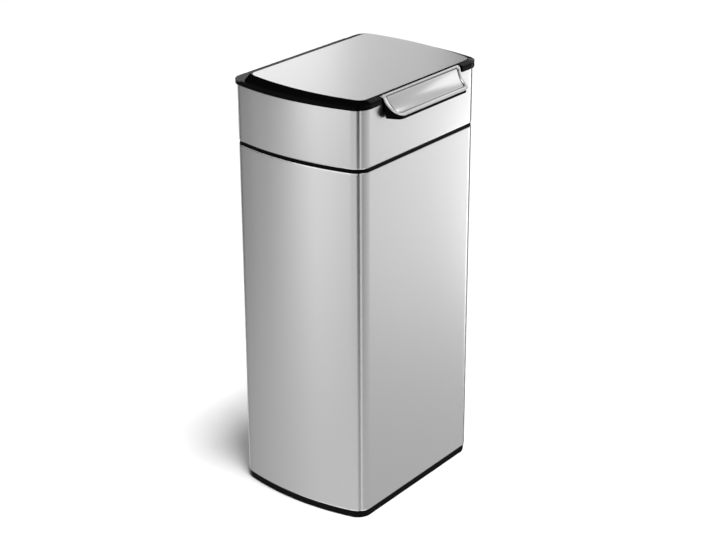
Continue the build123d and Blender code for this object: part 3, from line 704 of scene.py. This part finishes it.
@dataclass
class TouchBarFace:
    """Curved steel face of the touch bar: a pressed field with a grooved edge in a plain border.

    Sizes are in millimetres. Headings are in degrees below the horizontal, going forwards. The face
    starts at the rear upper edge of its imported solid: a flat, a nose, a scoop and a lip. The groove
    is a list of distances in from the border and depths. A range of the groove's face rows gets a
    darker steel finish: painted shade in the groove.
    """

    node: str = "touch_bar_skin"
    rear_half: float = 101.0
    lip_half: float = 87.0
    flat: float = 4.2
    flat_angle: float = 8.0
    nose_radius: float = 5.0
    nose_angle: float = 72.0
    scoop_radius: float = 35.0
    lip_angle: float = 24.0
    lip: float = 6.5
    corner: float = 13.0
    field_corner: float = 5.0
    rear_corner: float = 3.0
    field_rear_corner: float = 1.5
    sheet: float = 0.8
    edge: float = 0.6
    edge_steps: int = 4
    border: float = 5.9
    groove: tuple[tuple[float, float], ...] = (
        (0.0, 0.0), (0.15, 0.1), (0.35, 0.8), (0.95, 0.85), (1.5, 0.8), (1.75, 0.48), (2.1, 0.4))
    painted_shade_rows: tuple[int, int] = (6, 9)
    corner_steps: int = 8
    side_steps: int = 30
    arc_step: float = 4.0
    shade_angle: float = 50.0

    def inward(self, angle: float) -> Vector:
        """Return the (y, z) direction from the face into the bar where it heads at an angle."""
        return Vector((math.sin(math.radians(angle)), -math.cos(math.radians(angle))))

    def heading(self, angle: float) -> Vector:
        """Return the (y, z) direction of the face at an angle below the horizontal."""
        return Vector((-math.cos(math.radians(angle)), -math.sin(math.radians(angle))))

    def crest(self) -> tuple[list[Vector], list[float]]:
        """Return the face's line from its rear edge to the end of its lip.

        Returns:
            The (y, z) points of the line, and the heading at each.
        """
        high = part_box(self.node)[1]
        start = Vector((high[1], high[2])) / MM
        nose_centre = (start + self.heading(self.flat_angle) * self.flat
                       + self.inward(self.flat_angle) * self.nose_radius)
        reach = self.nose_radius + self.scoop_radius
        scoop_centre = nose_centre - self.inward(self.nose_angle) * reach
        points, angles = [start], [self.flat_angle]
        for begin, first, last, centre, radius in (
                (0, self.flat_angle, self.nose_angle, nose_centre, -self.nose_radius),
                (1, self.nose_angle, self.lip_angle, scoop_centre, self.scoop_radius)):
            steps = round(abs(last - first) / self.arc_step)
            for step in range(begin, steps + 1):
                angle = first + (last - first) * step / steps
                points.append(centre + self.inward(angle) * radius)
                angles.append(angle)
        points.append(points[-1] + self.heading(self.lip_angle) * self.lip)
        angles.append(self.lip_angle)
        return points, angles

    def plan(self, margin: float, points: list[Vector]) -> list[Vector]:
        """Return the right half of the outline from above, moved in by a margin, rear to front.

        Args:
            margin: how far in from the face's edge.
            points: the crest's points.

        Returns:
            (x, y) points round the rear corner, along the side and round the front corner.
        """
        rear, front = points[0].x, points[-1].x
        lean = (self.rear_half - self.lip_half) / (rear - front)
        turn = math.atan(lean)
        rear_radius = max(self.rear_corner - margin, self.field_rear_corner)
        front_radius = max(self.corner - margin, self.field_corner)
        arcs = []
        for radius, level, first, last in (
                (rear_radius, rear - margin - rear_radius, math.pi / 2, -turn),
                (front_radius, front + margin + front_radius, -turn, -math.pi / 2)):
            across = (self.rear_half - lean * (rear - level)
                      - (margin + radius) * math.sqrt(1 + lean**2))
            arcs.append(arc(Vector((across, level)), radius, first, last, self.corner_steps))
        ahead = [-point.x for point in points]
        lengths = [0.0]
        for a, b in zip(points, points[1:]):
            lengths.append(lengths[-1] + (b - a).length)
        begin, end = arcs[0][-1], arcs[1][0]
        near, far = between(-begin.y, ahead, lengths), between(-end.y, ahead, lengths)
        side = []
        for step in range(1, self.side_steps):
            level = -between(near + (far - near) * step / self.side_steps, lengths, ahead)
            side.append(begin + (end - begin) * (level - begin.y) / (end.y - begin.y))
        return arcs[0] + side + arcs[1]

    def loop(self, margin: float, depth: float) -> list[Vector]:
        """Return one closed loop of points on the face, in metres.

        Args:
            margin: how far in from the face's edge, seen from above.
            depth: how far below the face.

        Returns:
            The right half from rear to front, then the left half from front to rear.
        """
        points, angles = self.crest()
        ahead = [-point.x for point in points]
        right = []
        for place in self.plan(margin, points):
            sink = self.inward(between(-place.y, ahead, angles)) * depth
            level = between(-place.y, ahead, points) + sink
            right.append(Vector((place.x, level.x, level.y)) * MM)
        return right + [Vector((-point.x, point.y, point.z)) for point in reversed(right)]

    def build(self, finishes: Finishes) -> bpy.types.Object:
        """Model the rolled edge, the border, the groove and the field, and thicken the sheet.

        Args:
            finishes: the finishes of the bin.

        Returns:
            The face, which replaces its node.
        """
        section = []
        for step in range(self.edge_steps + 1):
            angle = math.pi / 2 * step / self.edge_steps
            section.append((self.edge * (1 - math.cos(angle)), self.edge * (1 - math.sin(angle))))
        section += [(self.border + margin, depth) for margin, depth in self.groove]
        loops = [self.loop(*place) for place in section]
        piece = loft("touch_bar_face", loops)
        bpy.ops.mesh.select_mode(type="EDGE")
        mesh = bmesh.from_edit_mesh(piece.data)
        mesh.faces.ensure_lookup_table()
        # Painted shade: these groove rows take the darker steel.
        for row in range(*self.painted_shade_rows):
            for face in mesh.faces[row * len(loops[0]):(row + 1) * len(loops[0])]:
                face.material_index = 1
        for edge in mesh.edges:
            if edge.select and edge.verts[0].co.x * edge.verts[1].co.x < 0:
                edge.select = False
        bmesh.update_edit_mesh(piece.data)
        bpy.ops.mesh.bridge_edge_loops()
        bpy.ops.mesh.select_all(action="SELECT")
        bpy.ops.mesh.normals_make_consistent(inside=False)
        if sum(face.normal.z for face in bmesh.from_edit_mesh(piece.data).faces) < 0:
            bpy.ops.mesh.flip_normals()
        bpy.ops.object.mode_set(mode="OBJECT")
        bpy.ops.object.modifier_add(type="SOLIDIFY")
        piece.modifiers[-1].thickness = self.sheet * MM
        piece.modifiers[-1].offset = -1.0
        bpy.ops.object.modifier_apply(modifier=piece.modifiers[-1].name)
        smooth(piece, self.shade_angle)
        dress(piece, finishes[Finish.BAR])
        # The second material is the darker steel of the painted shade in the groove.
        piece.data.materials.append(finishes[Finish.CREASE])
        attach(piece, "touch_bar")
        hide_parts(self.node)
        return piece


@dataclass
class EasedNode:
    """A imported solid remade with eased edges, as a moulding or a cut sheet has them.

    The radius is in millimetres and the angles are in degrees. Edges that turn by more than the
    sharp angle are eased. Faces that turn by less than the flat angle are joined first, where it is
    given, as on a bracket with no large opening.
    """

    node: str
    body: str
    slot: str
    finish: Finish
    radius: float
    segments: int = 2
    flat_angle: float = 0.0
    sharp_angle: float = 35.0
    shade_angle: float = 50.0

    def build(self, frame: dict, finishes: Finishes) -> bpy.types.Object:
        """Copy the node, ease its edges and dress it.

        Args:
            frame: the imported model.
            finishes: the finishes of the bin.

        Returns:
            The eased piece, which replaces the node.
        """
        piece = copy_node(frame["nodes"][self.node], f"{self.node}_eased")
        if self.flat_angle:
            bpy.ops.mesh.dissolve_limited(angle_limit=math.radians(self.flat_angle))
        bpy.ops.mesh.select_all(action="DESELECT")
        bpy.ops.mesh.edges_select_sharp(sharpness=math.radians(self.sharp_angle))
        bpy.ops.mesh.bevel(offset=self.radius * MM, segments=self.segments, affect="EDGES",
                           clamp_overlap=True, miter_outer="ARC")
        bpy.ops.object.mode_set(mode="OBJECT")
        smooth(piece, self.shade_angle)
        bpy.ops.object.modifier_add(type="WEIGHTED_NORMAL")
        piece.modifiers[-1].keep_sharp = True
        bpy.ops.object.modifier_apply(modifier=piece.modifiers[-1].name)
        dress(piece, finishes[self.finish])
        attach(piece, self.body)
        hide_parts(self.node)
        LOG.info("eased %s: %d faces", self.node, len(piece.data.polygons))
        return piece


EASED_NODES = (
    # The plinth, the seam band and the touch bar's core take the black with painted shade.
    EasedNode("base_plinth", "body", "matte_black", Finish.BAND, 0.8),
    EasedNode("foot_pads", "body", "rubber", Finish.RUBBER, 0.5),
    EasedNode("body_rim", "body", "matte_black", Finish.BAND, 0.3),
    EasedNode("inner_bucket", "bucket", "bucket_grey", Finish.GREY, 0.8),
    EasedNode("collar_liner", "collar", "matte_black", Finish.MATTE, 0.4),
    EasedNode("top_ring", "collar", "gloss_black", Finish.GLOSS, 0.5),
    EasedNode("lid_bumpers", "collar", "rubber", Finish.RUBBER, 0.5),
    EasedNode("hinge_pins", "collar", "bright_steel", Finish.BRIGHT, 0.3),
    EasedNode("bar_pivot_pin", "collar", "bright_steel", Finish.BRIGHT, 0.3),
    EasedNode("latch_bracket", "collar", "matte_black", Finish.MATTE, 0.4, flat_angle=0.6),
    EasedNode("latch_pin", "collar", "bright_steel", Finish.BRIGHT, 0.3),
    EasedNode("lid_frame", "lid", "gloss_black", Finish.GLOSS, 0.4),
    # The lid panel takes the lighter steel of the painted brighter light.
    EasedNode("lid_panel", "lid", "steel", Finish.LID, 0.4),
    EasedNode("lid_cover", "lid", "matte_black", Finish.MATTE, 0.5),
    EasedNode("lid_keeper", "lid", "bright_steel", Finish.BRIGHT, 0.3, flat_angle=0.6),
    EasedNode("keeper_rivets", "lid", "bright_steel", Finish.BRIGHT, 0.3),
    EasedNode("touch_bar_core", "touch_bar", "matte_black", Finish.BAND, 0.7),
    EasedNode("latch_lever", "latch", "matte_black", Finish.MATTE, 0.3),
)


@dataclass
class ScrewRow:
    """Screws with a rounded head and a cross recess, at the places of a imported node's screws.

    Sizes are in millimetres. Each screw starts at the origin with its head down, and the turn is in
    radians. The rounding is a share of the head's height.
    """

    node: str
    body: str
    places: list[tuple[float, float, float]]
    shank: float
    head_radius: float = 2.8
    head_height: float = 1.8
    shank_radius: float = 1.5
    recess_width: float = 0.75
    recess_length: float = 3.4
    recess_depth: float = 1.1
    rounding: float = 0.55
    round_steps: int = 4
    head_sides: int = 28
    shank_sides: int = 20
    shade_angle: float = 40.0
    turn: tuple[float, float, float] = UPRIGHT

    def head(self) -> bpy.types.Object:
        """Model the head, with its lower edge rounded over.

        Returns:
            The head, in object mode.
        """
        deselect_all()
        bpy.ops.mesh.primitive_cylinder_add(vertices=self.head_sides, radius=self.head_radius * MM,
                                            depth=self.head_height * MM,
                                            location=(0, 0, self.head_height / 2 * MM))
        head = bpy.context.object
        place_in_mesh(head)
        bpy.ops.object.mode_set(mode="EDIT")
        bpy.ops.mesh.select_mode(type="EDGE")
        bpy.ops.mesh.select_all(action="DESELECT")
        mesh = bmesh.from_edit_mesh(head.data)
        for edge in mesh.edges:
            edge.select = all(vertex.co.z < MERGE_DISTANCE for vertex in edge.verts)
        bmesh.update_edit_mesh(head.data)
        bpy.ops.mesh.bevel(offset=self.head_height * self.rounding * MM, segments=self.round_steps,
                           affect="EDGES")
        bpy.ops.object.mode_set(mode="OBJECT")
        return head

    def cut_recess(self, head: bpy.types.Object) -> None:
        """Cut the cross recess into the head.

        Args:
            head: the head.
        """
        for across in (False, True):
            deselect_all()
            bpy.ops.mesh.primitive_cube_add(size=1.0, location=(0, 0, 0))
            cutter = bpy.context.object
            long, short = self.recess_length * MM, self.recess_width * MM
            cutter.scale = (short if across else long, long if across else short,
                            2 * self.recess_depth * MM)
            place_in_mesh(cutter)
            make_active(head)
            bpy.ops.object.modifier_add(type="BOOLEAN")
            cut = head.modifiers[-1]
            cut.object = cutter
            cut.operation = "DIFFERENCE"
            bpy.ops.object.modifier_apply(modifier=cut.name)
            bpy.data.objects.remove(cutter)

    def build(self, finishes: Finishes) -> bpy.types.Object:
        """Model one screw, copy it to every place and join the copies.

        Args:
            finishes: the finishes of the bin.

        Returns:
            The screws as one piece, which replaces its node.
        """
        head = self.head()
        self.cut_recess(head)
        deselect_all()
        middle = (self.head_height + self.shank / 2) * MM
        bpy.ops.mesh.primitive_cylinder_add(vertices=self.shank_sides, radius=self.shank_radius * MM,
                                            depth=self.shank * MM, location=(0, 0, middle))
        shank = bpy.context.object
        place_in_mesh(shank)
        shank.select_set(True)
        head.select_set(True)
        bpy.context.view_layer.objects.active = head
        bpy.ops.object.join()
        screws = []
        for place in self.places:
            make_active(head)
            bpy.ops.object.duplicate()
            screw = bpy.context.object
            screw.rotation_euler = self.turn
            screw.location = Vector(place) * MM
            place_in_mesh(screw)
            screws.append(screw)
        bpy.data.objects.remove(head)
        deselect_all()
        for screw in screws:
            screw.select_set(True)
        bpy.context.view_layer.objects.active = screws[0]
        bpy.ops.object.join()
        piece = bpy.context.object
        piece.name = f"{self.node}_detailed"
        smooth(piece, self.shade_angle)
        dress(piece, finishes[Finish.BRIGHT])
        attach(piece, self.body)
        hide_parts(self.node)
        LOG.info("screws %s: %d", self.node, len(self.places))
        return piece


@dataclass
class LatchSpring:
    """The latch's packed coil spring.

    Places are in millimetres.
    """

    node: str = "latch_spring"
    lever_end: tuple[float, float, float] = (0.0, -109.7, 645.4)
    bracket_end: tuple[float, float, float] = (0.0, -102.4, 645.4)
    shade_angle: float = 50.0

    def build(self, frame: dict, finishes: Finishes) -> bpy.types.Object:
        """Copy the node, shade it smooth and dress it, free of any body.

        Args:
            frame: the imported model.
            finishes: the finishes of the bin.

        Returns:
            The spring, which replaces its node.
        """
        piece = copy_node(frame["nodes"][self.node], "latch_coil")
        bpy.ops.mesh.customdata_custom_splitnormals_clear()
        smooth(piece, self.shade_angle)
        bpy.ops.object.parent_clear(type="CLEAR_KEEP_TRANSFORM")
        dress(piece, finishes[Finish.BRIGHT])
        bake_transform(piece)
        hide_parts(self.node)
        LOG.info("coil %s", self.node)
        return piece


@dataclass(frozen=True)
class SoftPanel:
    """A rectangular soft light that the camera doesn't see.

    Places and sizes are in metres, and the brightness is a radiance.
    """

    name: str
    place: tuple[float, float, float]
    aim: tuple[float, float, float]
    width: float
    height: float
    brightness: float
    reflected: bool = True

    def build(self) -> None:
        """Make the light, which only reflections see, or only matte surfaces."""
        data = bpy.data.lights.new(self.name, "AREA")
        data.shape = "RECTANGLE"
        data.size = self.width
        data.size_y = self.height
        data.energy = self.brightness * math.pi * self.width * self.height
        light = bpy.data.objects.new(self.name, data)
        bpy.context.scene.collection.objects.link(light)
        light.location = self.place
        towards = Vector(self.aim) - Vector(self.place)
        light.rotation_euler = towards.to_track_quat("-Z", "Y").to_euler()
        light.visible_camera = False
        light.visible_diffuse = not self.reflected
        light.visible_glossy = self.reflected


@dataclass(frozen=True)
class SoftWall:
    """An upright soft light, curved round the bin. Angles are in degrees, seen from the bin.

    Azimuths run anticlockwise from +X. Its brightness changes evenly from its first edge to its
    last. Only reflections see it.
    """

    name: str
    azimuths: tuple[float, float]
    elevations: tuple[float, float]
    brightness: tuple[float, float]
    panels: int = 1
    radius: float = 3.0
    centre: float = 0.35

    def build(self) -> None:
        """Make the wall's panels."""
        start, end = self.azimuths
        width = (end - start) / self.panels
        low, high = (self.radius * math.tan(math.radians(angle)) for angle in self.elevations)
        level = self.centre + (low + high) / 2
        for number in range(self.panels):
            share = (number + 0.5) / self.panels
            azimuth = math.radians(start + (end - start) * share)
            glow = self.brightness[0] + (self.brightness[1] - self.brightness[0]) * share
            place = (self.radius * math.cos(azimuth), self.radius * math.sin(azimuth), level)
            SoftPanel(f"{self.name}_{number}", place, (0.0, 0.0, level),
                      2 * self.radius * math.tan(math.radians(width / 2)), high - low, glow).build()


WALLS = (
    SoftWall("left_sweep", (84, 132), (-24, 4), (0.08, 0.62), 4),
    SoftWall("left_middle", (132, 160), (-24, 4), (0.62, 1.18), 4),
    SoftWall("left_near", (160, 184), (-24, 4), (1.1, 0.72), 3),
    SoftWall("near_side", (184, 216), (-24, 4), (0.8, 0.8), 2),
    SoftWall("left_sweep_low", (84, 132), (-58, -24), (0.36, 0.68), 4),
    SoftWall("left_middle_low", (132, 160), (-58, -24), (0.66, 0.7), 2),
    SoftWall("left_near_low", (160, 222), (-58, -24), (0.68, 0.7), 3),
    SoftWall("left_hem_low", (84, 222), (-74, -58), (2.6, 3.4), 5),
    SoftWall("left_hem_high", (84, 222), (34, 56), (1.6, 2.6), 5),
    SoftWall("front_hem_low", (240, 342), (-74, -60), (3.2, 3.2), 4),
    SoftWall("front_hem_high", (240, 342), (52, 64), (3.0, 3.0), 4),
    SoftWall("corner_low", (222, 234), (-60, -23), (0.55, 0.55)),
    SoftWall("corner_strip", (236, 246), (-60, 32), (1.1, 0.9)),
    SoftWall("front_sweep", (246, 330), (-25, 4), (0.34, 1.14), 6),
    SoftWall("front_low", (246, 330), (-60, -25), (0.58, 0.6), 6),
    SoftWall("front_edge", (330, 342), (-60, -26), (0.65, 0.65)),
    SoftWall("right_key", (330, 342), (-26, 2), (3.1, 3.1)),
    SoftWall("bar_low", (306, 342), (2, 52), (0.74, 0.76), 2),
    SoftWall("bar_high", (342, 376), (4, 54), (0.72, 0.8), 2),
    SoftWall("bar_top", (12, 25), (14, 42), (1.1, 1.1)),
    SoftWall("left_window", (146, 180), (4, 32), (1.5, 1.3), 2),
    SoftWall("left_high", (180, 222), (4, 32), (0.7, 0.5), 2),
    SoftWall("front_high", (246, 306), (4, 32), (0.5, 0.42), 4),
    SoftWall("rear_high", (30, 54), (4, 32), (0.42, 1.78), 3),
    SoftWall("rear_slot", (30, 54), (-60, 4), (0.06, 0.06)),
    SoftWall("rear_right", (-6, 30), (-60, 4), (0.3, 0.25), 2),
    SoftWall("rear_left", (54, 80), (-60, 4), (0.3, 1.3), 3),
)

PANELS = (
    SoftPanel("rear_roof", (0.8628, 0.8628, 3.2406), (0.0, 0.0, 0.5), 1.6, 1.0, 0.5),
    SoftPanel("bar_glow", (0.97, -0.42, 0.92), (0.118, -0.135, 0.67), 0.54, 0.5, 0.74),
    SoftPanel("floor_key", (-1.3, -3.4, 16.0), (0.0, 0.0, 0.0), 4.1, 4.1, 63.0, reflected=False),
)


@dataclass
class Studio:
    """Pale floor, an even sky for all that is matte, and soft walls for the steel to reflect."""

    floor_size: float = 14.0
    floor_color: tuple[float, float, float] = (0.86, 0.86, 0.86)
    floor_roughness: float = 0.9
    floor_specular: float = 0.1
    sky: float = 0.2
    lights: tuple[SoftWall | SoftPanel, ...] = WALLS + PANELS

    def floor(self) -> None:
        """Make the floor, which neither shades the low walls nor shows in the steel."""
        deselect_all()
        bpy.ops.mesh.primitive_plane_add(size=self.floor_size, location=(0, 0, 0))
        floor = bpy.context.object
        floor.name = "floor"
        material, _, shader = new_material("pale_floor")
        shader.inputs["Base Color"].default_value = (*self.floor_color, 1.0)
        shader.inputs["Roughness"].default_value = self.floor_roughness
        shader.inputs["Specular IOR Level"].default_value = self.floor_specular
        dress(floor, material)
        floor.visible_glossy = False
        floor.visible_shadow = False

    def world(self) -> None:
        """Light all that is matte evenly, show white behind, and leave reflections to the walls."""
        world = bpy.data.worlds.new("studio")
        bpy.context.scene.world = world
        world.use_nodes = True
        tree = world.node_tree
        background = tree.nodes["Background"]
        background.inputs["Color"].default_value = (1.0, 1.0, 1.0, 1.0)
        backdrop = add_node(tree, "ShaderNodeMath", operation="MULTIPLY_ADD")
        backdrop.inputs[1].default_value = 1.0 - self.sky
        backdrop.inputs[2].default_value = self.sky
        tree.links.new(backdrop.outputs[0], background.inputs["Strength"])
        dark = add_node(tree, "ShaderNodeBackground")
        dark.inputs["Color"].default_value = (0.0, 0.0, 0.0, 1.0)
        rays = add_node(tree, "ShaderNodeLightPath")
        mix = add_node(tree, "ShaderNodeMixShader")
        tree.links.new(rays.outputs["Is Camera Ray"], backdrop.inputs[0])
        tree.links.new(rays.outputs["Is Glossy Ray"], mix.inputs[0])
        tree.links.new(background.outputs[0], mix.inputs[1])
        tree.links.new(dark.outputs[0], mix.inputs[2])
        tree.links.new(mix.outputs[0], tree.nodes["World Output"].inputs["Surface"])

    def build(self) -> None:
        """Build the floor, the world and the lights."""
        bpy.context.scene.view_settings.view_transform = "Standard"
        self.floor()
        self.world()
        for light in self.lights:
            light.build()


@dataclass
class ViewPoint:
    """The photograph's camera.

    Angles are in degrees, the distance and target in metres, and the lens and sensor in millimetres.
    """

    azimuth: float = 52.38
    elevation: float = 23.08
    roll: float = -0.24
    distance: float = 2.8181
    target: tuple[float, float, float] = (0.04548, 0.03379, 0.32385)
    lens: float = 86.55
    sensor: float = 36.0

    def build(self) -> None:
        """Make the camera and look through it."""
        data = bpy.data.cameras.new("camera")
        data.lens = self.lens
        data.sensor_width = self.sensor
        camera = bpy.data.objects.new("camera", data)
        bpy.context.scene.collection.objects.link(camera)
        azimuth = math.radians(self.azimuth)
        elevation = math.radians(self.elevation)
        towards = Vector((-math.sin(azimuth) * math.cos(elevation),
                          -math.cos(azimuth) * math.cos(elevation), math.sin(elevation)))
        camera.location = Vector(self.target) + self.distance * towards
        turn = (-towards).to_track_quat("-Z", "Y").to_matrix().to_4x4()
        spin = Matrix.Rotation(math.radians(self.roll), 4, "Z")
        camera.rotation_euler = (turn @ spin).to_euler()
        bpy.context.scene.camera = camera


def screw_rows(frame: dict) -> list[ScrewRow]:
    """Return the three sets of screws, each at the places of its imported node's solids.

    Args:
        frame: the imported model.

    Returns:
        The sets of screws.
    """
    rows = []
    for node, body, shank, turn in (("lid_screws", "lid", 8.1, UPRIGHT),
                                    ("collar_screws", "collar", 10.4, UPRIGHT),
                                    ("latch_screws", "collar", 4.3, FORWARDS)):
        places = [low_end(island, turn) for island in islands(frame["nodes"][node])]
        rows.append(ScrewRow(node, body, places, shank, turn=turn))
    return rows


def main() -> None:
    """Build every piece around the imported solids."""
    logging.basicConfig(level=logging.INFO, format="%(name)s: %(message)s")
    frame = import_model()
    finishes = make_finishes()
    dress(frame["nodes"]["lid_springs"], finishes[Finish.BRIGHT])
    LatchSpring().build(frame, finishes)
    for eased in EASED_NODES:
        eased.build(frame, finishes)
    SteelBand("body_sheet", "body_shell", "body", low=12.4, high=578.0).build(finishes)
    SteelBand("collar_sheet", "collar_shell", "collar", low=584.3, high=674.2).build(finishes)
    TouchBarFace().build(finishes)
    for row in screw_rows(frame):
        row.build(finishes)
    Studio().build()
    ViewPoint().build()


if __name__ == "__main__":
    main()
